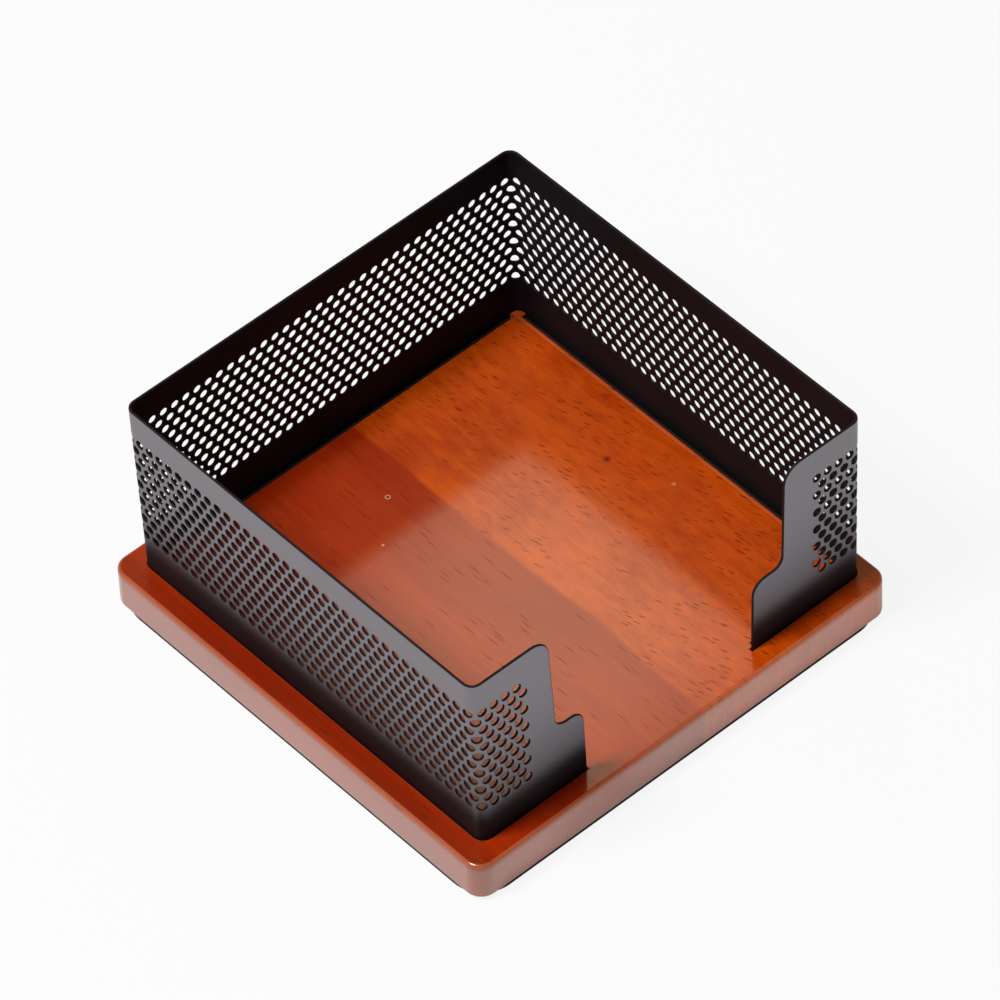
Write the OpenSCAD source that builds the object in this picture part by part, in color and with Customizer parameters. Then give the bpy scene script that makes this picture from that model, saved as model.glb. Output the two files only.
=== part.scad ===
// Open memo pad holder: a bent, perforated steel wall let into a lacquered wooden board.
// Z is up, the open side of the wall faces -Y, and the origin is the middle of the underside.

/* [Board] */
// Width of the wooden board along X
board_w = 114; // [112:0.5:140]
// Depth of the wooden board along Y
board_d = 114; // [112:0.5:140]
// Thickness of the wooden board
board_t = 10; // [6:0.5:18]
// Radius of the board's four upright corners
board_corner_r = 4; // [3:0.5:10]
// Radius of the rounding along the board's top and bottom edges
board_edge_r = 0.8; // [0.3:0.1:1.5]

/* [Pad] */
// Thickness of the anti-slip pad under the board
pad_t = 0.8; // [0.5:0.1:3]
// How far the pad stays back from the board's sides
pad_inset = 0.3; // [0.2:0.1:6]
// Radius of the pad's corners
pad_corner_r = 8; // [3:0.5:12]

/* [Wall] */
// Outside width of the wall along X
wall_w = 105; // [80:0.5:106]
// Outside depth of the wall along Y
wall_d = 105; // [80:0.5:106]
// Height of the wall above the board
wall_h = 47.4; // [38:0.2:80]
// Thickness of the sheet steel
sheet_t = 0.6; // [0.5:0.1:1.2]
// Outside radius of the four bends
bend_r = 2.5; // [2.5:0.5:6]
// How far the wall sits to the right of the board's middle
wall_shift_x = 1.2; // [-1.5:0.1:1.5]
// How far the wall sits to the back of the board's middle
wall_shift_y = 0.6; // [-1.5:0.1:1.5]

/* [Front returns] */
// Reach of each return's upper part from the side of the wall
return_upper_w = 21; // [14:0.5:24]
// Reach of each return's lower part from the side of the wall
return_lower_w = 29.5; // [26:0.5:34]
// Height of the step in the return's free edge above the board
return_step_h = 19.2; // [12:0.2:26]
// Radius of the return's top corner
return_top_r = 4.5; // [1:0.5:8]
// Radius of the step's outer corner
step_outer_r = 3.2; // [1:0.2:3.6]
// Radius of the step's inner corner
step_inner_r = 2.4; // [0.6:0.2:2.4]

/* [Perforation] */
// Diameter of the punched holes
hole_d = 2; // [1:0.1:2.2]
// Distance between neighbouring holes of a row
hole_pitch = 3; // [3:0.1:5]
// Distance from the wall's top edge to the first row
hole_top_margin = 8.6; // [4:0.2:9]
// Least distance from the board to the last row
hole_bottom_margin = 10; // [8:0.5:20]
// Least distance from a return's free edge to a hole's centre
hole_end_margin = 6.5; // [4:0.5:8]
// How far a column of holes lies before the middle of the front left bend, towards the return
hole_shift = 0.3; // [-1.4:0.1:1.4]

/* [Hem and groove] */
// Height of the hem folded inwards along the wall's foot
hem_h = 3.3; // [3:0.1:3.8]
// Gap between the two layers of the hem
hem_gap = 0.6; // [0.1:0.1:0.7]
// Length of each bend's end that the hem leaves free
hem_relief = 1; // [0.5:0.5:4]
// Length at a return's free edge that the hem leaves free
hem_end_relief = 1.2; // [0.4:0.2:4]
// Depth of the groove in the board
groove_depth = 3.4; // [3:0.1:3.8]
// Play between the sheet and each side of the groove
groove_play = 0.15; // [0.05:0.05:0.3]

/* [Hidden] */
$fn = 48;
right_angle = 90;
overshoot = 1;

board_z = pad_t;
board_top_z = board_z + board_t;
wall_foot_z = board_top_z - groove_depth;
wall_top_z = board_top_z + wall_h;

// The sheet's middle layer sets the length of the bent strip
bend_mid_r = bend_r - sheet_t / 2;
bend_length = PI / 2 * bend_mid_r;
corner_x = wall_w / 2 - bend_r;
corner_y = wall_d / 2 - bend_r;
corners = [[-corner_x, -corner_y], [-corner_x, corner_y], [corner_x, corner_y], [corner_x, -corner_y]];

// Distance along the strip to the middle of each bend, counted from the front left one
bend_at = [
    0,
    2 * corner_y + bend_length,
    2 * corner_y + 2 * corner_x + 2 * bend_length,
    4 * corner_y + 2 * corner_x + 3 * bend_length
];
return_length = return_upper_w - bend_r + bend_length / 2;
strip_start = -return_length;

// The holes are staggered by half a pitch, in rows of equilateral triangles
row_pitch = hole_pitch * sin(60);
first_row_z = wall_top_z - hole_top_margin;
row_count = 1 + floor((wall_h - hole_top_margin - hole_bottom_margin) / row_pitch);

// The pattern runs on evenly round the bends, in whole and half pitches from the shifted column
first_pitch = (strip_start + hole_end_margin + hole_shift) / hole_pitch;
last_pitch = (bend_at[3] + return_length - hole_end_margin + hole_shift) / hole_pitch;

fold_r = sheet_t + hem_gap / 2;
hem_thickness = 2 * sheet_t + hem_gap;
fold_z = wall_foot_z + fold_r;
hem_side = 2 * corner_y - 2 * hem_relief;
hem_back = 2 * corner_x - 2 * hem_relief;
hem_return = return_lower_w - bend_r - hem_relief - hem_end_relief;

module rounded_rectangle(w, d, r) {
    union() {
        square([w, d - 2 * r], center = true);
        square([w - 2 * r, d], center = true);
        for (x = [-1, 1], y = [-1, 1])
            translate([x * (w / 2 - r), y * (d / 2 - r)])
                circle(r);
    }
}

// What a round-over of radius r takes off an outer edge, in the edge's cross-section
module edge_waste(r) {
    difference() {
        translate([-r, -r])
            square(r + overshoot);
        translate([-r, -r])
            circle(r);
        translate([-r - overshoot, -r - 2 * overshoot])
            square([overshoot, r + 4 * overshoot]);
    }
}

// Cuts a round-over along the top edge of a rounded rectangular plate whose top is at z = 0
module round_over(w, d, corner_r, r) {
    for (side = [0, 1, 2, 3]) {
        across = side % 2 == 0 ? w : d;
        along = side % 2 == 0 ? d : w;
        rotate(side * right_angle) {
            translate([across / 2, along / 2 - corner_r, 0])
                rotate([right_angle, 0, 0])
                    linear_extrude(along - 2 * corner_r)
                        edge_waste(r);
            translate([across / 2 - corner_r, along / 2 - corner_r, 0])
                rotate_extrude(angle = right_angle)
                    translate([corner_r, 0])
                        edge_waste(r);
        }
    }
}

// Puts children at distance s along the strip: local X points out of the wall, at the sheet's middle
module on_strip(s) {
    nearest = s < bend_at[1] / 2 ? 0
        : s < (bend_at[1] + bend_at[2]) / 2 ? 1
        : s < (bend_at[2] + bend_at[3]) / 2 ? 2
        : 3;
    past = s - bend_at[nearest];
    before_angle = (3 - nearest) * right_angle;
    half = bend_length / 2;
    if (abs(past) <= half)
        translate(corners[nearest])
            rotate(before_angle - (past + half) / bend_length * right_angle)
                translate([bend_mid_r, 0, 0])
                    children();
    else if (past < 0)
        translate(corners[nearest])
            rotate(before_angle)
                translate([bend_mid_r, -past - half, 0])
                    children();
    else
        translate(corners[nearest])
            rotate(before_angle - right_angle)
                translate([bend_mid_r, half - past, 0])
                    children();
}

// One straight stretch of sheet between two bends, with its hem
module straight_wall(length, hem_length) {
    translate([bend_mid_r - sheet_t / 2, 0, fold_z])
        cube([sheet_t, length, wall_top_z - fold_z]);
    translate([0, (length - hem_length) / 2, 0])
        hem(hem_length);
}

// The fold along the foot and the sheet's edge turned up inside it
module hem(length) {
    translate([bend_r - fold_r, length, fold_z])
        rotate([right_angle, 0, 0])
            linear_extrude(length) {
                difference() {
                    circle(fold_r);
                    circle(hem_gap / 2);
                    translate([-2 * fold_r, 0])
                        square(4 * fold_r);
                }
                translate([-fold_r, 0])
                    square([sheet_t, hem_h - fold_r]);
            }
}

// Outline of a return from the end of its bend to its free edge; Y is the height above the board
module return_outline() {
    upper = return_upper_w - bend_r;
    lower = return_lower_w - bend_r;
    bottom = fold_z - board_top_z;
    translate([0, bottom])
        square([lower, return_step_h - step_outer_r - bottom]);
    translate([0, bottom])
        square([lower - step_outer_r, return_step_h - bottom]);
    translate([lower - step_outer_r, return_step_h - step_outer_r])
        circle(step_outer_r);
    square([upper, wall_h - return_top_r]);
    square([upper - return_top_r, wall_h]);
    translate([upper - return_top_r, wall_h - return_top_r])
        circle(return_top_r);
    translate([upper, return_step_h])
        difference() {
            square(step_inner_r);
            translate([step_inner_r, step_inner_r])
                circle(step_inner_r);
        }
}

// A return as it leaves its bend along +Y, with its hem
module return_wall() {
    translate([bend_r - sheet_t, 0, board_top_z])
        rotate([right_angle, 0, right_angle])
            linear_extrude(sheet_t)
                return_outline();
    translate([0, hem_relief, 0])
        hem(hem_return);
}

module bend() {
    translate([0, 0, fold_z])
        rotate_extrude(angle = right_angle)
            translate([bend_r - sheet_t, 0])
                square([sheet_t, wall_top_z - fold_z]);
}

module bent_strip() {
    for (i = [0, 1, 2, 3])
        translate(corners[i])
            rotate((2 - i) * right_angle)
                bend();
    translate([-corner_x, corner_y, 0])
        rotate(2 * right_angle)
            straight_wall(2 * corner_y, hem_side);
    translate([corner_x, corner_y, 0])
        rotate(right_angle)
            straight_wall(2 * corner_x, hem_back);
    translate([corner_x, -corner_y, 0])
        straight_wall(2 * corner_y, hem_side);
    translate(corners[0])
        rotate(3 * right_angle)
            return_wall();
    translate(corners[3])
        mirror([1, 0, 0])
            rotate(3 * right_angle)
                return_wall();
}

module punched_holes() {
    for (row = [0 : row_count - 1]) {
        stagger = row % 2 == 0 ? 0.5 : 0;
        for (i = [ceil(first_pitch - stagger) : floor(last_pitch - stagger)])
            on_strip((i + stagger) * hole_pitch - hole_shift)
                translate([0, 0, first_row_z - row * row_pitch])
                    rotate([0, right_angle, 0])
                        cylinder(d = hole_d, h = sheet_t + 2 * overshoot, center = true);
    }
}

module perforated_wall() {
    color([0.13, 0.11, 0.12])
        translate([wall_shift_x, wall_shift_y, 0])
            difference() {
                bent_strip();
                punched_holes();
            }
}

// Plan of the groove: a narrow slot under the whole wall, wider where the hem sits
module groove_outline() {
    slot = sheet_t + 2 * groove_play;
    hem_slot = hem_thickness + 2 * groove_play;
    difference() {
        rounded_rectangle(wall_w + 2 * groove_play, wall_d + 2 * groove_play, bend_r + groove_play);
        rounded_rectangle(wall_w + 2 * groove_play - 2 * slot, wall_d + 2 * groove_play - 2 * slot,
            bend_r + groove_play - slot);
        translate([0, -wall_d / 2])
            square([wall_w - 2 * return_lower_w - 2 * groove_play, 4 * slot], center = true);
    }
    for (side = [-1, 1]) {
        translate([side * (wall_w / 2 + groove_play - hem_slot / 2), 0])
            square([hem_slot, hem_side + 2 * groove_play], center = true);
        translate([side * (wall_w / 2 - bend_r - hem_relief - hem_return / 2),
            hem_slot / 2 - groove_play - wall_d / 2])
            square([hem_return + 2 * groove_play, hem_slot], center = true);
    }
    translate([0, wall_d / 2 + groove_play - hem_slot / 2])
        square([hem_back + 2 * groove_play, hem_slot], center = true);
}

module base_board() {
    color([0.62, 0.25, 0.1])
        difference() {
            translate([0, 0, board_z])
                linear_extrude(board_t)
                    rounded_rectangle(board_w, board_d, board_corner_r);
            translate([0, 0, board_top_z])
                round_over(board_w, board_d, board_corner_r, board_edge_r);
            translate([0, 0, board_z])
                mirror([0, 0, 1])
                    round_over(board_w, board_d, board_corner_r, board_edge_r);
            translate([wall_shift_x, wall_shift_y, wall_foot_z])
                linear_extrude(groove_depth + overshoot)
                    groove_outline();
        }
}

module base_pad() {
    color([0.08, 0.08, 0.08])
        linear_extrude(pad_t)
            rounded_rectangle(board_w - 2 * pad_inset, board_d - 2 * pad_inset, pad_corner_r);
}

base_board();
perforated_wall();
base_pad();
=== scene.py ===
import math

import bpy
import numpy as np
from mathutils import Matrix, Vector


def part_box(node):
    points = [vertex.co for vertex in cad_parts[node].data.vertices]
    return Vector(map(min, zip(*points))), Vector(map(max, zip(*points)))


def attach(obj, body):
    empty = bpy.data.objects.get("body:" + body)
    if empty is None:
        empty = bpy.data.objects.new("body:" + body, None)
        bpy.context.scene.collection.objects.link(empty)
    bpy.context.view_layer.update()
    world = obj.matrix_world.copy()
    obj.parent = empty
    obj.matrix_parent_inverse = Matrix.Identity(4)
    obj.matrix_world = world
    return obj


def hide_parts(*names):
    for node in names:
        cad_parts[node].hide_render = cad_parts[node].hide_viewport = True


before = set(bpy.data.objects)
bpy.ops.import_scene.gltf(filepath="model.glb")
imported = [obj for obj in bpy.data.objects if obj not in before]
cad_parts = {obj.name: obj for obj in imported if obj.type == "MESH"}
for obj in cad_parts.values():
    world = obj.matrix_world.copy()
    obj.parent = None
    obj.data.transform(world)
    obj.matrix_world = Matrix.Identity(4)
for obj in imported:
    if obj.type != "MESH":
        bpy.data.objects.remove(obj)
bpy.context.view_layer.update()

mm = 0.001
quarterTurn = math.pi / 2
closeEnough = 0.01 * mm
sharpTurn = math.radians(60)  # edges that turn more than this are rounded

boardLow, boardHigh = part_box("base_board")
wallLow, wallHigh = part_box("perforated_wall")
padLow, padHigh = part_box("base_pad")
boardTop = boardHigh.z
wallMiddle = (wallLow + wallHigh) / 2
wallWidth = wallHigh.x - wallLow.x
wallDepth = wallHigh.y - wallLow.y

# Modelling by hand


def onlySelect(piece):
    bpy.ops.object.select_all(action="DESELECT")
    piece.select_set(True)
    bpy.context.view_layer.objects.active = piece


def startPiece(name, size=(1, 1, 1)):  # names and sizes what a primitive has just made, and applies its place
    piece = bpy.context.active_object
    piece.name = name
    piece.data.name = name
    piece.scale = size
    onlySelect(piece)
    bpy.ops.object.transform_apply(location=True, rotation=True, scale=True)
    return piece


def pick(piece, kind, test):  # selects what passes the test and stays in edit mode
    bpy.ops.object.mode_set(mode="EDIT")
    bpy.context.tool_settings.mesh_select_mode = (kind == "vertices", kind == "edges", kind == "polygons")
    bpy.ops.mesh.select_all(action="DESELECT")
    bpy.ops.object.mode_set(mode="OBJECT")
    for element in getattr(piece.data, kind):
        element.select = test(element)
    bpy.ops.object.mode_set(mode="EDIT")


def keepPicked(piece, test):  # drops the selected edges that fail the test
    bpy.ops.object.mode_set(mode="OBJECT")
    kept = [edge.index for edge in piece.data.edges if edge.select and test(edge)]
    pick(piece, "edges", lambda edge: False)
    bpy.ops.object.mode_set(mode="OBJECT")
    for index in kept:
        piece.data.edges[index].select = True
    bpy.ops.object.mode_set(mode="EDIT")


def pickOpenEdges(wire):  # the open borders of the piece in edit mode, with or without its loose edges
    bpy.ops.mesh.select_non_manifold(extend=False, use_wire=wire, use_boundary=True, use_multi_face=False,
                                     use_non_contiguous=False, use_verts=False)


def ends(piece, edge):
    return [piece.data.vertices[index].co for index in edge.vertices]


def climb(piece, edge):
    first, second = ends(piece, edge)
    return abs(first.z - second.z)


def finishWith(piece, kind, **settings):
    onlySelect(piece)
    modifier = piece.modifiers.new(kind.lower(), kind)
    for name, value in settings.items():
        setattr(modifier, name, value)
    bpy.ops.object.modifier_apply(modifier=modifier.name)


def smoothOver(piece):
    onlySelect(piece)
    bpy.ops.object.shade_smooth()
    finishWith(piece, "WEIGHTED_NORMAL", weight=100, keep_sharp=True)


def cutAway(piece, cutter):
    finishWith(piece, "BOOLEAN", operation="DIFFERENCE", solver="EXACT", object=cutter)
    bpy.data.objects.remove(cutter)


# The bent strip. Laid flat, X runs along it from the front left bend, Y points out of it, Z is up

strip = {
    "sheet": 0.6 * mm,
    "bendRadius": 2.5 * mm,  # outside
    "pitch": 3 * mm,
    "stagger": math.radians(60),  # between a hole's nearest neighbours
    "hole": 2 * mm,
    "holeSides": 12,
    "rows": 12,
    "firstColumn": -4,  # in pitches before the front left bend
    "columns": 112,
    "columnShift": 0.3 * mm,  # the pattern meets the front left bend this much before a column
    "topMargin": 8.6 * mm,  # from the top edge to the first row
    "hemGap": 0.6 * mm,
    "hemRelief": 1 * mm,  # at the bends
    "hemEndRelief": 1.2 * mm,  # at the free edges of the returns
    "hemHeight": 3.3 * mm,
    "holeEdge": 0.15 * mm,  # width of the rounded rim of a hole
    "sheetEdge": 0.22 * mm,  # and of the sheet's own edges
    "insideSlot": 1,  # material slots of the inner face and the cut edges
    "cutSlot": 2,
    "lean": {  # of each wall and return outwards, in degrees
        "left": 0.93,
        "back": 0.63,
        "right": 0.16,
        "frontLeft": -0.21,
        "frontRight": 0.57,
    },
}

# Free edges of the two front returns: reach from the side of the wall, heights above the board
returns = {
    "left": {
        "upper": 20.3 * mm,
        "aboveStep": 20.9 * mm,
        "lower": 28.3 * mm,
        "foot": 28.6 * mm,
        "step": 18.8 * mm,
        "topRadius": 4.5 * mm,
        "outerRadius": 3.2 * mm,
        "innerRadius": 3 * mm,
    },
    "right": {
        "upper": 21.6 * mm,
        "aboveStep": 22.1 * mm,
        "lower": 30.4 * mm,
        "foot": 30.8 * mm,
        "step": 19.6 * mm,
        "topRadius": 4.5 * mm,
        "outerRadius": 3.6 * mm,
        "innerRadius": 2.5 * mm,
    },
}

midRadius = strip["bendRadius"] - strip["sheet"] / 2
bendLength = quarterTurn * midRadius
cornerX = wallWidth / 2 - strip["bendRadius"]
cornerY = wallDepth / 2 - strip["bendRadius"]
wallCorners = np.array([(-cornerX, -cornerY), (-cornerX, cornerY), (cornerX, cornerY), (cornerX, -cornerY)])
lastBend = len(wallCorners) - 1
bendsOnStrip = np.cumsum([0, 2 * cornerY + bendLength, 2 * cornerX + bendLength, 2 * cornerY + bendLength])
rowPitch = strip["pitch"] * math.sin(strip["stagger"])
firstRow = wallHigh.z - strip["topMargin"]
foldRadius = (strip["sheet"] + strip["hemGap"]) / 2
foldZ = wallLow.z + foldRadius + strip["sheet"] / 2


# How far the strip has run past a front bend's middle, at a reach from the side of the wall
def pastBend(reach):
    return reach - strip["bendRadius"] + bendLength / 2


def toBend(x):  # distance along the strip to the middle of the nearest bend
    return np.min(np.abs(x - bendsOnStrip))


def bendRound(piece, leans):  # folds the flat strip round its four bends and lets its walls lean
    count = len(piece.data.vertices)
    flat = np.empty(count * 3)
    piece.data.vertices.foreach_get("co", flat)
    x, outwards, z = flat.reshape(count, 3).T
    nearest = np.argmin(np.abs(x[:, None] - bendsOnStrip), axis=1)
    past = x - bendsOnStrip[nearest]
    inBend = np.clip(past, -bendLength / 2, bendLength / 2)
    angle = (lastBend - nearest) * quarterTurn - (inBend / bendLength + 0.5) * quarterTurn
    radius = midRadius + outwards
    straight = inBend - past
    planX = wallCorners[nearest, 0] + radius * np.cos(angle) - straight * np.sin(angle)
    planY = wallCorners[nearest, 1] + radius * np.sin(angle) + straight * np.cos(angle)
    height = np.maximum(z - boardTop, 0)
    across = planX / wallWidth + 0.5
    inwards = planY / wallDepth + 0.5
    slope = {side: math.tan(math.radians(lean)) for side, lean in leans.items()}
    front = slope["frontLeft"] * (1 - across) + slope["frontRight"] * across
    bent = np.stack([
        wallMiddle.x + planX + height * (slope["right"] * across - slope["left"] * (1 - across)),
        wallMiddle.y + planY + height * (slope["back"] * inwards - front * (1 - inwards)),
        z,
    ], axis=1)
    piece.data.vertices.foreach_set("co", bent.ravel())
    piece.data.update()


def punchPattern():  # a hole and its share of the sheet, repeated along the strip and down it
    half = strip["pitch"] / 2
    firstHole = (strip["firstColumn"] + 0.5) * strip["pitch"] - strip["columnShift"]
    bpy.ops.mesh.primitive_circle_add(vertices=strip["holeSides"], radius=strip["hole"] / 2, fill_type="NGON",
                                      rotation=(quarterTurn, 0, 0))
    wall = startPiece("perforated_wall_sheet")
    pick(wall, "edges", lambda edge: True)
    bpy.ops.mesh.extrude_edges_move()
    bpy.ops.object.mode_set(mode="OBJECT")
    for vertex in wall.data.vertices:
        if vertex.select:  # the outer ring goes to the borders of the hole's share
            across = round(4 * vertex.co.x / strip["hole"]) / 2
            up = round(4 * vertex.co.z / strip["hole"])
            vertex.co.x = half * across
            vertex.co.z = rowPitch / 2 * max(-1, min(1, up))
    for vertex in wall.data.vertices:
        vertex.co += Vector((firstHole, 0, firstRow))
    merge = {"use_relative_offset": False, "use_constant_offset": True, "use_merge_vertices": True,
             "merge_threshold": closeEnough}
    for count, offset in (
        (2, (-half, 0, -rowPitch)),  # the staggered row below
        (strip["rows"] // 2, (0, 0, -2 * rowPitch)),
        (strip["columns"], (strip["pitch"], 0, 0)),
    ):
        finishWith(wall, "ARRAY", count=count, constant_offset_displace=offset, **merge)
    pick(wall, "vertices", lambda vertex: True)
    bpy.ops.mesh.remove_doubles(threshold=closeEnough)
    bpy.ops.object.mode_set(mode="OBJECT")
    return wall


def addBands(wall):  # plain sheet above the first row and below the last
    for edgeZ, newZ in ((firstRow + rowPitch / 2, wallHigh.z),
                        (firstRow - (strip["rows"] - 0.5) * rowPitch, foldZ)):
        pick(wall, "edges", lambda edge: all(abs(end.z - edgeZ) < closeEnough for end in ends(wall, edge)))
        bpy.ops.mesh.extrude_edges_move(TRANSFORM_OT_translate={"value": (0, 0, newZ - edgeZ)})
        bpy.ops.object.mode_set(mode="OBJECT")


def drawReturn(wall, side):  # the free edge of a front return, drawn from its top round to its foot
    sizes = returns[side]
    sign = -1 if side == "left" else 1
    bendMiddle = bendsOnStrip[0] if side == "left" else bendsOnStrip[-1]

    def lastPoint(z):
        level = [vertex.co for vertex in wall.data.vertices if abs(vertex.co.z - z) < closeEnough]
        return max(level, key=lambda co: sign * co.x).copy()

    def reach(distance):
        return bendMiddle + sign * pastBend(distance)

    topEnd, footEnd = lastPoint(wallHigh.z), lastPoint(foldZ)
    top, outer, inner = sizes["topRadius"], sizes["outerRadius"], sizes["innerRadius"]
    stepZ = boardTop + sizes["step"]
    place = topEnd.copy()
    pick(wall, "vertices", lambda vertex: (vertex.co - topEnd).length < closeEnough)

    def lineTo(x, z):
        bpy.ops.mesh.extrude_vertices_move(TRANSFORM_OT_translate={"value": (x - place.x, 0, z - place.z)})
        place.x, place.z = x, z

    def arcTo(x, z, centreX, centreZ, turn):
        bpy.ops.mesh.spin(steps=6, angle=quarterTurn, center=(centreX, 0, centreZ), axis=(0, turn, 0))
        place.x, place.z = x, z

    upperX, aboveStepX, lowerX = reach(sizes["upper"]), reach(sizes["aboveStep"]), reach(sizes["lower"])
    lineTo(upperX - sign * top, wallHigh.z)
    arcTo(upperX, wallHigh.z - top, upperX - sign * top, wallHigh.z - top, -sign)
    lineTo(aboveStepX, stepZ + inner)
    arcTo(aboveStepX + sign * inner, stepZ, aboveStepX + sign * inner, stepZ + inner, sign)
    lineTo(lowerX - sign * outer, stepZ)
    arcTo(lowerX, stepZ - outer, lowerX - sign * outer, stepZ - outer, -sign)
    lineTo(reach(sizes["foot"]), foldZ)
    lineTo(reach(sizes["foot"] - strip["hemEndRelief"]), foldZ)
    lineTo(footEnd.x, foldZ)
    bpy.ops.mesh.select_all(action="SELECT")
    bpy.ops.mesh.remove_doubles(threshold=closeEnough)
    nearest = min(sign * topEnd.x, sign * footEnd.x)

    def onLoop(edge):
        first, second = ends(wall, edge)
        nearer = min(sign * first.x, sign * second.x)
        low, high = sorted((first.z, second.z))
        inside = nearer < nearest - closeEnough
        underBand = high < foldZ + closeEnough and nearer < sign * footEnd.x - closeEnough
        overBand = low > wallHigh.z - closeEnough and nearer < sign * topEnd.x - closeEnough
        return not (inside or underBand or overBand)

    bpy.context.tool_settings.mesh_select_mode = (False, True, False)
    bpy.ops.mesh.select_all(action="DESELECT")
    pickOpenEdges(True)
    keepPicked(wall, onLoop)
    bpy.ops.mesh.edge_face_add()
    bpy.ops.object.mode_set(mode="OBJECT")


def foldHem(wall):  # the foot of each straight wall, folded inwards and up
    start = bendsOnStrip[0] - pastBend(returns["left"]["foot"] - strip["hemEndRelief"]) - closeEnough
    stop = bendsOnStrip[-1] + pastBend(returns["right"]["foot"] - strip["hemEndRelief"]) + closeEnough

    def isHemmed(edge):
        return all(abs(end.z - foldZ) < closeEnough and start < end.x < stop and
                   toBend(end.x) > bendLength / 2 + strip["hemRelief"] for end in ends(wall, edge))

    pick(wall, "edges", isHemmed)
    bpy.ops.mesh.spin(steps=5, angle=math.pi, center=(0, -foldRadius, foldZ), axis=(1, 0, 0))
    rise = wallLow.z + strip["hemHeight"] - foldZ
    bpy.ops.mesh.extrude_edges_move(TRANSFORM_OT_translate={"value": (0, 0, rise)})
    bpy.ops.object.mode_set(mode="OBJECT")


def roundEdges(wall):  # soft rims on the sheet's own edges, then on the holes
    outline = wall.vertex_groups["outline"].index
    inOutline = {vertex.index for vertex in wall.data.vertices
                 if any(member.group == outline for member in vertex.groups)}
    pick(wall, "edges", lambda edge: False)
    bpy.ops.mesh.edges_select_sharp(sharpness=sharpTurn)
    keepPicked(wall, lambda edge: all(index in inOutline for index in edge.vertices))
    bpy.ops.mesh.bevel(offset=strip["sheetEdge"], segments=3, clamp_overlap=False, material=strip["cutSlot"])
    bpy.ops.object.mode_set(mode="OBJECT")
    finishWith(wall, "BEVEL", width=strip["holeEdge"], segments=1, limit_method="ANGLE",
               angle_limit=sharpTurn, use_clamp_overlap=False, material=strip["cutSlot"])


def makeWall():
    wall = punchPattern()
    addBands(wall)
    drawReturn(wall, "left")
    drawReturn(wall, "right")
    foldHem(wall)
    pick(wall, "edges", lambda edge: False)
    pickOpenEdges(False)
    bpy.ops.object.mode_set(mode="OBJECT")
    outline = [vertex.index for vertex in wall.data.vertices if vertex.select]
    wall.vertex_groups.new(name="outline").add(outline, 1, "REPLACE")
    pick(wall, "polygons", lambda face: face.loop_total == strip["holeSides"])
    bpy.ops.mesh.delete(type="ONLY_FACE")
    bpy.ops.mesh.select_all(action="SELECT")
    bpy.ops.mesh.normals_make_consistent(inside=False)
    bpy.ops.object.mode_set(mode="OBJECT")
    for paint in (coatPaint(), shadedInsidePaint(), edgePaint()):
        wall.data.materials.append(paint)
    finishWith(wall, "SOLIDIFY", thickness=strip["sheet"], offset=0, use_even_offset=True,
               material_offset=strip["insideSlot"], material_offset_rim=strip["cutSlot"])
    roundEdges(wall)
    bendRound(wall, strip["lean"])
    pick(wall, "polygons", lambda face: True)
    bpy.ops.mesh.normals_make_consistent(inside=False)
    bpy.ops.object.mode_set(mode="OBJECT")
    wall.vertex_groups.clear()
    smoothOver(wall)
    print("wall:", len(wall.data.polygons), "faces")
    return wall


# The board and the pad

board = {
    "cornerRadius": 4 * mm,
    "cornerSteps": 20,
    "edgeRadius": 0.8 * mm,
    "edgeSteps": 4,
    "groovePlay": 0.15 * mm,
    "grooveEdge": 0.2 * mm,  # width of the groove's rounded edges
    "overshoot": 1 * mm,  # of the cutters above the board
    "wearAndHighlightTilt": (0.3, 0.97),  # upward part of the normal where an upper edge gets a painted highlight, partly worn lacquer
}

pad = {
    "cornerRadius": 8 * mm,
    "cornerSteps": 16,
    "edgeRadius": 0.15 * mm,
    "edgeSteps": 2,
    "deep": (0.008, 0.008, 0.008, 1),
    "light": (0.02, 0.02, 0.021, 1),
    "nap": ((5, 5, 5), 3, 0.7, 1),  # waves per millimetre along each axis, detail, roughness, and which noise
    "relief": 0.1 * mm,
    "reliefStrength": 0.6,
}


def roundedSlab(name, low, high, form):
    size = high - low
    bpy.ops.mesh.primitive_cube_add(size=1, location=(low + high) / 2)
    slab = startPiece(name, size)
    pick(slab, "edges", lambda edge: climb(slab, edge) > size.z / 2)
    bpy.ops.mesh.bevel(offset=form["cornerRadius"], segments=form["cornerSteps"], affect="EDGES")
    bpy.ops.object.mode_set(mode="OBJECT")
    pick(slab, "edges", lambda edge: climb(slab, edge) < closeEnough)
    bpy.ops.mesh.bevel(offset=form["edgeRadius"], segments=form["edgeSteps"], affect="EDGES")
    bpy.ops.object.mode_set(mode="OBJECT")
    return slab


def grooveCutter():  # a slot of even width that follows the strip
    start = bendsOnStrip[0] - pastBend(returns["left"]["foot"]) - board["groovePlay"]
    stop = bendsOnStrip[-1] + pastBend(returns["right"]["foot"]) + board["groovePlay"]
    width = strip["sheet"] + 2 * board["groovePlay"]
    bpy.ops.mesh.primitive_grid_add(x_subdivisions=450, y_subdivisions=1, size=1,
                                    location=((start + stop) / 2, 0, wallLow.z))
    cutter = startPiece("groove_cutter", (stop - start, width, 1))
    pick(cutter, "polygons", lambda face: True)
    rise = boardTop - wallLow.z + board["overshoot"]
    bpy.ops.mesh.extrude_region_move(TRANSFORM_OT_translate={"value": (0, 0, rise)})
    bpy.ops.mesh.select_all(action="SELECT")
    bpy.ops.mesh.normals_make_consistent(inside=False)
    bpy.ops.object.mode_set(mode="OBJECT")
    bendRound(cutter, dict.fromkeys(strip["lean"], 0))
    return cutter


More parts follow.
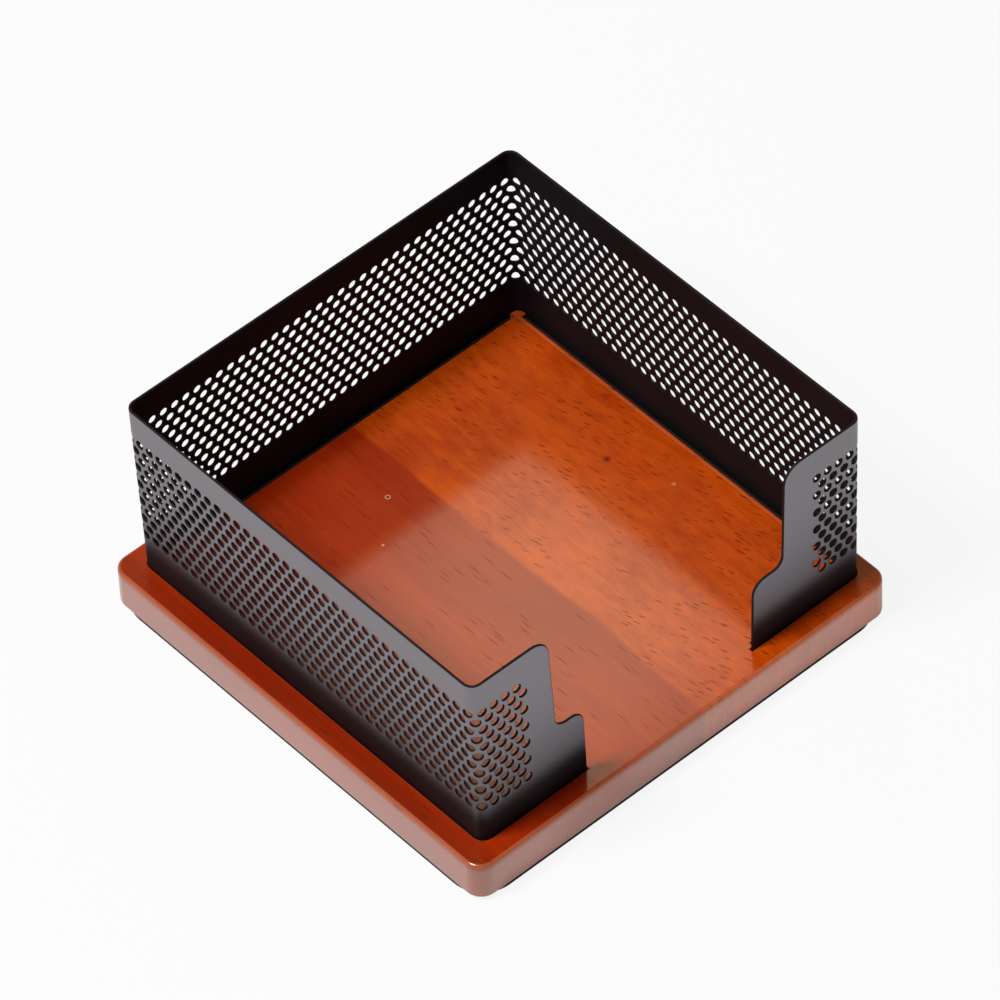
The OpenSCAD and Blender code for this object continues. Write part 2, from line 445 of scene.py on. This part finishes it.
def hemCutters():  # the slot is wider where the hem sits
    play = board["groovePlay"]
    hemWidth = 2 * strip["sheet"] + strip["hemGap"] + 2 * play
    clear = strip["bendRadius"] + strip["hemRelief"] - play
    floor, ceiling = wallLow.z, boardTop + board["overshoot"]
    left, right = wallLow.x - play, wallHigh.x + play
    front, back = wallLow.y - play, wallHigh.y + play
    leftEnd = wallLow.x + returns["left"]["foot"] - strip["hemEndRelief"] + play
    rightEnd = wallHigh.x - returns["right"]["foot"] + strip["hemEndRelief"] - play
    boxes = (
        ((left, front + clear), (left + hemWidth, back - clear)),
        ((right - hemWidth, front + clear), (right, back - clear)),
        ((left + clear, back - hemWidth), (right - clear, back)),
        ((left + clear, front), (leftEnd, front + hemWidth)),
        ((rightEnd, front), (right - clear, front + hemWidth)),
    )
    for low, high in boxes:
        low, high = Vector((*low, floor)), Vector((*high, ceiling))
        bpy.ops.mesh.primitive_cube_add(size=1, location=(low + high) / 2)
        yield startPiece("hem_cutter", high - low)


def markWearAndHighlight(piece):  # painted highlight where the upper edges turn over, partly thin lacquer
    wearAndHighlight = piece.data.attributes.new("wearAndHighlight", "FLOAT", "POINT")
    for vertex, mark in zip(piece.data.vertices, wearAndHighlight.data):
        turned = board["wearAndHighlightTilt"][0] < vertex.normal.z < board["wearAndHighlightTilt"][1]
        mark.value = 1 if turned and vertex.co.z > boardTop - board["edgeRadius"] else 0


def makeBoard():
    piece = roundedSlab("base_board_wood", boardLow, boardHigh, board)
    pick(piece, "polygons", lambda face: True)
    bpy.ops.mesh.bisect(plane_co=wallMiddle, plane_no=(1, 0, 0))  # so that no face is left with a hole in it
    bpy.ops.object.mode_set(mode="OBJECT")
    cutAway(piece, grooveCutter())
    for cutter in hemCutters():
        cutAway(piece, cutter)
    pick(piece, "edges", lambda edge: False)
    bpy.ops.mesh.edges_select_sharp(sharpness=sharpTurn)
    keepPicked(piece, lambda edge: all(abs(end.z - boardTop) < closeEnough for end in ends(piece, edge)))
    bpy.ops.mesh.bevel(offset=board["grooveEdge"], segments=2, clamp_overlap=False)
    bpy.ops.object.mode_set(mode="OBJECT")
    markWearAndHighlight(piece)
    smoothOver(piece)
    print("board:", len(piece.data.polygons), "faces")
    return piece


def makePad():
    piece = roundedSlab("base_pad_skin", padLow, padHigh, pad)
    smoothOver(piece)
    print("pad:", len(piece.data.polygons), "faces")
    return piece


# Materials


class Value:  # a socket that takes part in Python sums
    def __init__(self, paint, socket):
        self.paint = paint
        self.socket = socket

    def math(self, operation, first, second):
        return self.paint.node("Math", {"operation": operation}, {0: first, 1: second})

    def __add__(self, other):
        return self.math("ADD", self, other)

    def __sub__(self, other):
        return self.math("SUBTRACT", self, other)

    def __mul__(self, other):
        return self.math("MULTIPLY", self, other)

    def __pow__(self, other):
        return self.math("POWER", self, other)

    def __rsub__(self, other):
        return self.math("SUBTRACT", other, self)

    def __rpow__(self, other):
        return self.math("POWER", other, self)

    __radd__ = __add__
    __rmul__ = __mul__

    def step(self, low, high):  # 0 below low, 1 above high
        settings = {"interpolation_type": "SMOOTHSTEP"}
        return self.paint.node("MapRange", settings, {"Value": self, "From Min": low, "From Max": high})


class Paint:  # the nodes of a material, or of the world
    def __init__(self, name, kind="materials"):
        self.holder = getattr(bpy.data, kind).new(name)
        self.holder.use_nodes = True
        self.tree = self.holder.node_tree
        self.tree.nodes.clear()

    def node(self, kind, settings=None, inputs=None, output=0):
        made = self.tree.nodes.new("ShaderNode" + kind)
        for name, value in (settings or {}).items():
            setattr(made, name, value)
        for name, value in (inputs or {}).items():
            if isinstance(value, Value):
                self.tree.links.new(value.socket, made.inputs[name])
            else:
                made.inputs[name].default_value = value
        return Value(self, made.outputs[output]) if made.outputs else None

    def blend(self, factor, first, second):
        return self.node("Mix", {"data_type": "RGBA"}, {0: factor, 6: first, 7: second}, 2)

    # Object coordinates in millimetres, turned about Z, times a scale for each axis
    def places(self, scale, turn=0):
        coordinates = self.node("TexCoord", output="Object")
        sizes = [mm / each for each in scale]
        return self.node("Mapping", {"vector_type": "TEXTURE"},
                         {"Vector": coordinates, "Rotation": (0, 0, turn), "Scale": sizes})

    def axes(self):
        coordinates = self.places((1, 1, 1))
        return [self.node("SeparateXYZ", None, {0: coordinates}, axis) for axis in "XYZ"]

    def noise(self, scale, detail, roughness, shift):
        return self.node("TexNoise", {"noise_dimensions": "4D"},
                         {"Vector": self.places(scale), "W": shift, "Scale": 1, "Detail": detail,
                          "Roughness": roughness}, "Fac")

    def pores(self, scale, turn, inner, outer):  # 1 inside scattered dashes
        found = self.node("TexVoronoi", None, {"Vector": self.places(scale, turn), "Scale": 1}, "Distance")
        return 1 - found.step(inner, outer)

    def spot(self, x, y, radius, blur):  # 1 inside a small mark, seen from above
        here = self.node("VectorMath", {"operation": "MULTIPLY"}, {0: self.places((1, 1, 1)), 1: (1, 1, 0)})
        away = self.node("VectorMath", {"operation": "DISTANCE"}, {0: here, 1: (x, y, 0)}, "Value")
        return 1 - away.step(radius - blur, radius + blur)

    def rays(self):  # 1 for what the camera sees, for what mirrors show and for what shows through
        names = ("Is Camera Ray", "Is Glossy Ray", "Is Transmission Ray")
        return [self.node("LightPath", output=name) for name in names]

    def bump(self, height, finish):
        return self.node("Bump", None, {"Height": height, "Distance": finish["relief"],
                                        "Strength": finish["reliefStrength"]})

    def shader(self, **inputs):
        named = {name.replace("_", " "): value for name, value in inputs.items()}
        return self.node("BsdfPrincipled", None, named)

    def show(self, shader, output="OutputMaterial"):
        self.node(output, None, {"Surface": shader})
        return self.holder

    def surface(self, **inputs):
        return self.show(self.shader(**inputs))


wood = {
    "leftDeep": (0.35, 0.017, 0.001, 1),  # the two staves of the board, each from deep to light
    "leftLight": (0.54, 0.042, 0.003, 1),
    "rightDeep": (0.48, 0.04, 0.001, 1),
    "rightLight": (0.83, 0.108, 0.003, 1),
    "pore": (0.07, 0.006, 0.002, 1),
    # lighter colour on the upper edges: a painted highlight, partly thin lacquer
    "wearAndHighlight": (0.85, 0.3, 0.14, 1),
    "knot": (0.2, 0.01, 0.003, 1),
    "bare": (0.95, 0.5, 0.25, 1),
    "glow": (1, 0.6, 0.08, 1),  # tint of the sheen that comes out of the fibres
    "staveX": 4.7,  # millimetres, where the staves meet
    "staveBlur": 0.8,
    "staveSway": 4,  # how far the joint wanders
    "overlap": (7, 38, 5, 5),  # x, y, radius and blur, where the left stave's stain runs over the joint
    "overlapShare": 0.7,
    "leftShadeAndStain": (-55, -49),  # millimetres in X, the wood darkens from the second place to the first: painted shade beside the left wall, partly a stain
    "leftShadeAndStainShare": 0.28,
    # Waves per millimetre along X, Y and Z, detail, roughness, and which noise it is
    "noises": {
        "sway": ((0.02, 0.02, 0.02), 2, 0.5, 3),
        "figure": ((0.11, 0.016, 0.05), 4, 0.6, 1),
        "blotches": ((0.4, 0.16, 0.2), 3, 0.6, 4),
        "clouds": ((0.06, 0.035, 0.05), 2, 0.5, 8),
        "streaks": ((1.1, 0.035, 0.4), 3, 0.6, 2),
        "fibres": ((5, 0.2, 2), 2, 0.5, 5),
        "patches": ((0.08, 0.05, 0.08), 2, 0.5, 7),
    },
    # Shares of the noises in the tone of each stave, and the sums that are deep and light
    "leftShares": {"figure": 0.5, "sway": 0.3, "streaks": 0.25, "fibres": 0.12},
    "leftRange": (0.38, 0.82),
    "rightShares": {"blotches": 0.4, "clouds": 0.4, "streaks": 0.15, "fibres": 0.2},
    "rightRange": (0.36, 0.8),
    # Cells per millimetre along X, Y and Z, slant, and how far from its middle a pore is full and gone
    "longPores": ((1.1, 0.09, 0.1), 0, 0.1, 0.2),
    "shortPores": ((1.5, 0.22, 0.1), math.radians(17), 0.14, 0.27),
    "longPoreShare": 0.7,
    "poreShare": 0.75,
    "porePatches": (0.34, 0.56),  # of the patches, where short pores start and are all there
    # Small marks in the tray: x, y, radius and blur in millimetres, share, colour
    "marks": (
        (37.2, 7.5, 0.7, 0.6, 1, "knot"),
        (-12.5, 21.9, 0.25, 0.2, 1, "bare"),
        (42.5, -7.3, 0.35, 0.35, 0.6, "bare"),
        (-2.9, 31.2, 0.6, 0.15, 0.8, "bare"),  # a nick
        (-2.9, 31.2, 0.35, 0.15, 1, "pore"),  # and its dark middle
    ),
    "wearAndHighlightShare": 0.32,
    "poreRelief": 0.5,
    "streakRelief": 0.05,
    "blotchRelief": 0.08,
    "relief": 0.03 * mm,
    "reliefStrength": 0.4,
    # Millimetres below the top, where the lacquer is thick and where it is thin
    "sideDepths": (2.2, 0.2),
    "topLacquer": 0.25,  # share of the sides' lacquer that the top has
    "poreLacquer": 0.8,  # share of it that is missing in the pores
}


def woodPaint():
    paint = Paint("lacquered_wood")
    x, y, z = paint.axes()
    noises = {name: paint.noise(*noise) for name, noise in wood["noises"].items()}

    def tone(side):  # 0 where a stave is deep, 1 where it is light
        mixed = sum(noises[name] * share for name, share in wood[side + "Shares"].items())
        return mixed.step(*wood[side + "Range"])

    joint = x + (noises["sway"] - 0.5) * wood["staveSway"]
    rightStave = joint.step(wood["staveX"] - wood["staveBlur"], wood["staveX"] + wood["staveBlur"])
    rightStave = rightStave * (1 - paint.spot(*wood["overlap"]) * wood["overlapShare"])
    left = paint.blend(tone("left"), wood["leftDeep"], wood["leftLight"])
    right = paint.blend(tone("right"), wood["rightDeep"], wood["rightLight"])
    colour = paint.blend(rightStave, left, right)
    # painted shade beside the left wall, partly a stain: darker towards the left edge
    shadedAndStained = 1 - x.step(*wood["leftShadeAndStain"])
    colour = paint.blend(shadedAndStained * wood["leftShadeAndStainShare"], colour, wood["pore"])
    longPores = paint.pores(*wood["longPores"]) * wood["longPoreShare"]
    shortPores = paint.pores(*wood["shortPores"]) * noises["patches"].step(*wood["porePatches"])
    thick = 1 - z.step(*(boardTop / mm - depth for depth in wood["sideDepths"]))
    poreMask = (longPores * (1 - rightStave) + shortPores * rightStave) * (1 - thick)
    colour = paint.blend(poreMask * wood["poreShare"], colour, wood["pore"])
    for markX, markY, radius, blur, share, tint in wood["marks"]:
        colour = paint.blend(paint.spot(markX, markY, radius, blur) * share, colour, wood[tint])
    # painted highlight along the upper edges, partly thin lacquer
    wearAndHighlight = paint.node("Attribute", {"attribute_name": "wearAndHighlight"}, None, "Fac")
    colour = paint.blend(wearAndHighlight * wood["wearAndHighlightShare"], colour, wood["wearAndHighlight"])
    relief = 1 - poreMask * wood["poreRelief"] + noises["streaks"] * wood["streakRelief"]
    relief = relief + noises["blotches"] * wood["blotchRelief"]
    lacquer = thick * (1 - wood["topLacquer"]) + wood["topLacquer"]
    return paint.surface(
        Base_Color=colour,
        Roughness=0.22,
        IOR=1.65,
        Specular_Tint=wood["glow"],
        Coat_Weight=lacquer * (1 - poreMask * wood["poreLacquer"]),
        Coat_Roughness=0.16,
        Coat_IOR=2.1,
        Normal=paint.bump(relief, wood),
    )


coat = {
    "colour": (0.008, 0.005, 0.007, 1),
    "dust": (0.02, 0.016, 0.018, 1),
    "inside": (0.011, 0.008, 0.01, 1),
    "edge": (0.022, 0.011, 0.011, 1),
    "sheen": (0.98, 0.92, 1, 1),
    # Waves per millimetre along X, Y and Z, detail, roughness, and which noise it is
    "peel": ((1.6, 1.6, 1.6), 2, 0.5, 1),
    "grain": ((9, 9, 9), 2, 0.6, 2),
    "cloud": ((0.05, 0.05, 0.05), 3, 0.5, 3),
    "insideGrain": ((7, 7, 7), 2, 0.6, 4),
    "insideCloud": ((0.05, 0.05, 0.05), 3, 0.5, 5),
    "dustRange": (0.4, 0.7),  # of the cloud, where dust starts and is all there
    "dustShare": 0.5,
    "insideDustRange": (0.4, 0.8),
    "insideDustShare": 0.4,
    "peelRelief": 0.7,
    "grainRelief": 0.3,
    "relief": 0.02 * mm,
    "reliefStrength": 0.3,
    # Painted shade at the foot of the wall: the coat is made dull below the first height above the board, in
    # millimetres, and glossy above the second
    "footHeight": 4,
    "glossHeight": 42,
    "footBlur": 7,
    "glossCurve": 0.3,
    "glossRoughness": 0.28,
    "insideRoughness": 0.42,
    "cloudRoughness": 0.08,  # what a noise adds to the roughness
    "grainRoughness": 0.04,
    "insideGrainRoughness": 0.08,
}


def coatPaint():
    paint = Paint("black_coat")
    peel, grain, cloud = (paint.noise(*coat[name]) for name in ("peel", "grain", "cloud"))
    colour = paint.blend(cloud.step(*coat["dustRange"]) * coat["dustShare"], coat["colour"], coat["dust"])
    relief = paint.bump(peel * coat["peelRelief"] + grain * coat["grainRelief"], coat)
    height = paint.axes()[2] - boardTop / mm
    foot = coat["footHeight"]
    # painted shade: the coat turns dull and dark towards the foot of the wall
    clearOfFootShade = height.step(foot, coat["glossHeight"]) ** coat["glossCurve"]
    clearOfFootShade = clearOfFootShade * height.step(foot, foot + coat["footBlur"])
    roughness = coat["glossRoughness"] + cloud * coat["cloudRoughness"] + grain * coat["grainRoughness"]
    paintedFootShade = paint.shader(Base_Color=colour, Roughness=0.5, IOR=1.2, Normal=relief)
    bright = paint.shader(Base_Color=colour, Roughness=roughness, IOR=2.9, Specular_Tint=coat["sheen"],
                          Normal=relief)
    return paint.show(paint.node("MixShader", None, {0: clearOfFootShade, 1: paintedFootShade, 2: bright}))


def shadedInsidePaint():  # painted shade: the inner faces get a duller, barely reflecting copy of the coat
    paint = Paint("black_coat_inside_shaded")
    grain, cloud = (paint.noise(*coat[name]) for name in ("insideGrain", "insideCloud"))
    dusty = cloud.step(*coat["insideDustRange"]) * coat["insideDustShare"]
    colour = paint.blend(dusty, coat["inside"], coat["dust"])
    roughness = coat["insideRoughness"] + grain * coat["insideGrainRoughness"]
    return paint.surface(Base_Color=colour, Roughness=roughness, IOR=1.12, Normal=paint.bump(grain, coat))


def edgePaint():  # and thin and dull on the cut edges and in the holes
    paint = Paint("black_coat_edge")
    grain = paint.noise(*coat["grain"])
    colour = paint.blend(grain, coat["colour"], coat["edge"])
    return paint.surface(Base_Color=colour, Roughness=0.65, IOR=1.3, Normal=paint.bump(grain, coat))


def padPaint():
    paint = Paint("black_pad")
    nap = paint.noise(*pad["nap"])
    colour = paint.blend(nap, pad["deep"], pad["light"])
    return paint.surface(Base_Color=colour, Roughness=0.85, Normal=paint.bump(nap, pad))


# The stage

stage = {
    "floor": (0.9, 0.9, 0.9, 1),
    "floorSize": 6,  # metres
    "white": (1, 1, 1, 1),
    "cameraGlow": 0.88,  # share of plain white in the floor as the camera sees it
    "mirrorGlow": 0.35,  # and as glossy surfaces show it
    "world": 0.16,  # strength of the air's light
    "mirrorAir": 0.02,  # share of plain white in the air as glossy surfaces show it
}


def whitePaint():
    paint = Paint("studio_white")
    camera, glossy, through = paint.rays()
    seen = camera * stage["cameraGlow"] + (glossy + through) * stage["mirrorGlow"]
    plain = paint.node("BsdfDiffuse", None, {"Color": stage["floor"]})
    glow = paint.node("Emission", None, {"Color": stage["white"], "Strength": 1})
    return paint.show(paint.node("MixShader", None, {0: seen, 1: plain, 2: glow}))


def makeFloor():
    bpy.ops.mesh.primitive_plane_add(size=stage["floorSize"], location=(0, 0, 0))
    floor = startPiece("studio_floor")
    floor.data.materials.append(whitePaint())


def makeWorld():
    air = Paint("studio_air", "worlds")
    camera, glossy, through = air.rays()
    seen = camera + (glossy + through) * stage["mirrorAir"]
    dim, plain = (air.node("Background", None, {"Color": stage["white"], "Strength": strength})
                  for strength in (stage["world"], 1))
    mixed = air.node("MixShader", None, {0: seen, 1: dim, 2: plain})
    bpy.context.scene.world = air.show(mixed, "OutputWorld")


lamps = {  # in metres and watts
    "softbox_key": {
        "place": (-0.58, 0.12, 1.08),  # of its middle
        "aim": (0, 0, 0.02),
        "size": (0.33, 0.33),
        "power": 11.3,
    },
    "softbox_sheen": {  # small and weak, for the sheen on the near part of the tray
        "place": (0.1903, 0.2079, 0.35),
        "aim": (0.1903, 0.2079, 0),
        "size": (0.0765, 0.1057),
        "power": 0.061,
    },
}


def makeLamps():
    for name, lamp in lamps.items():
        light = bpy.data.lights.new(name, "AREA")
        light.shape = "RECTANGLE"
        light.size, light.size_y = lamp["size"]
        light.energy = lamp["power"]
        holder = bpy.data.objects.new(name, light)
        holder.location = lamp["place"]
        holder.rotation_euler = (Vector(lamp["aim"]) - holder.location).to_track_quat("-Z", "Y").to_euler()
        bpy.context.scene.collection.objects.link(holder)


# The camera stands where the photograph was taken from, worked out from the hole pattern
view = {
    "azimuth": -40.01,  # degrees, 0 looks along +Y
    "elevation": 48.03,
    "roll": -2.84,
    "distance": 1799.5 * mm,
    "sensor": 36,  # millimetres wide
    "lens": 316.86,
    "clip": (0.05, 20),  # nearest and farthest that is seen
    "aim": (0.44 * mm, 0.32 * mm),  # to the right and up from the aimed point
    "aimHeight": 20 * mm,  # of the aimed point above the board
}


def makeCamera():
    azimuth, elevation, roll = (math.radians(view[name]) for name in ("azimuth", "elevation", "roll"))
    right = Vector((math.cos(azimuth), math.sin(azimuth), 0))
    back = Vector((math.sin(azimuth) * math.cos(elevation), -math.cos(azimuth) * math.cos(elevation),
                   math.sin(elevation)))
    up = back.cross(right)
    target = Vector((wallMiddle.x, wallMiddle.y, boardTop + view["aimHeight"]))
    place = target + back * view["distance"] + right * view["aim"][0] + up * view["aim"][1]
    across = right * math.cos(roll) + up * math.sin(roll)
    upright = up * math.cos(roll) - right * math.sin(roll)
    data = bpy.data.cameras.new("photo_camera")
    data.sensor_fit = "HORIZONTAL"
    data.sensor_width = view["sensor"]
    data.lens = view["lens"]
    data.clip_start, data.clip_end = view["clip"]
    camera = bpy.data.objects.new("photo_camera", data)
    camera.matrix_world = Matrix.Translation(place) @ Matrix((across, upright, back)).transposed().to_4x4()
    bpy.context.scene.collection.objects.link(camera)
    bpy.context.scene.camera = camera


# Putting it together

makeCamera()
makeFloor()
makeWorld()
makeLamps()
bpy.context.scene.view_settings.view_transform = "Standard"
print("stage ready")

for piece, node, slot, paint in (
    (makeBoard(), "base_board", "lacquered_wood", woodPaint()),
    (makePad(), "base_pad", "black_pad", padPaint()),
    (makeWall(), "perforated_wall", "black_steel", None),
):
    if paint:
        piece.data.materials.clear()
        piece.data.materials.append(paint)
    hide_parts(node)
    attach(piece, "root")
print("pieces dressed")

bpy.ops.object.select_all(action="DESELECT")
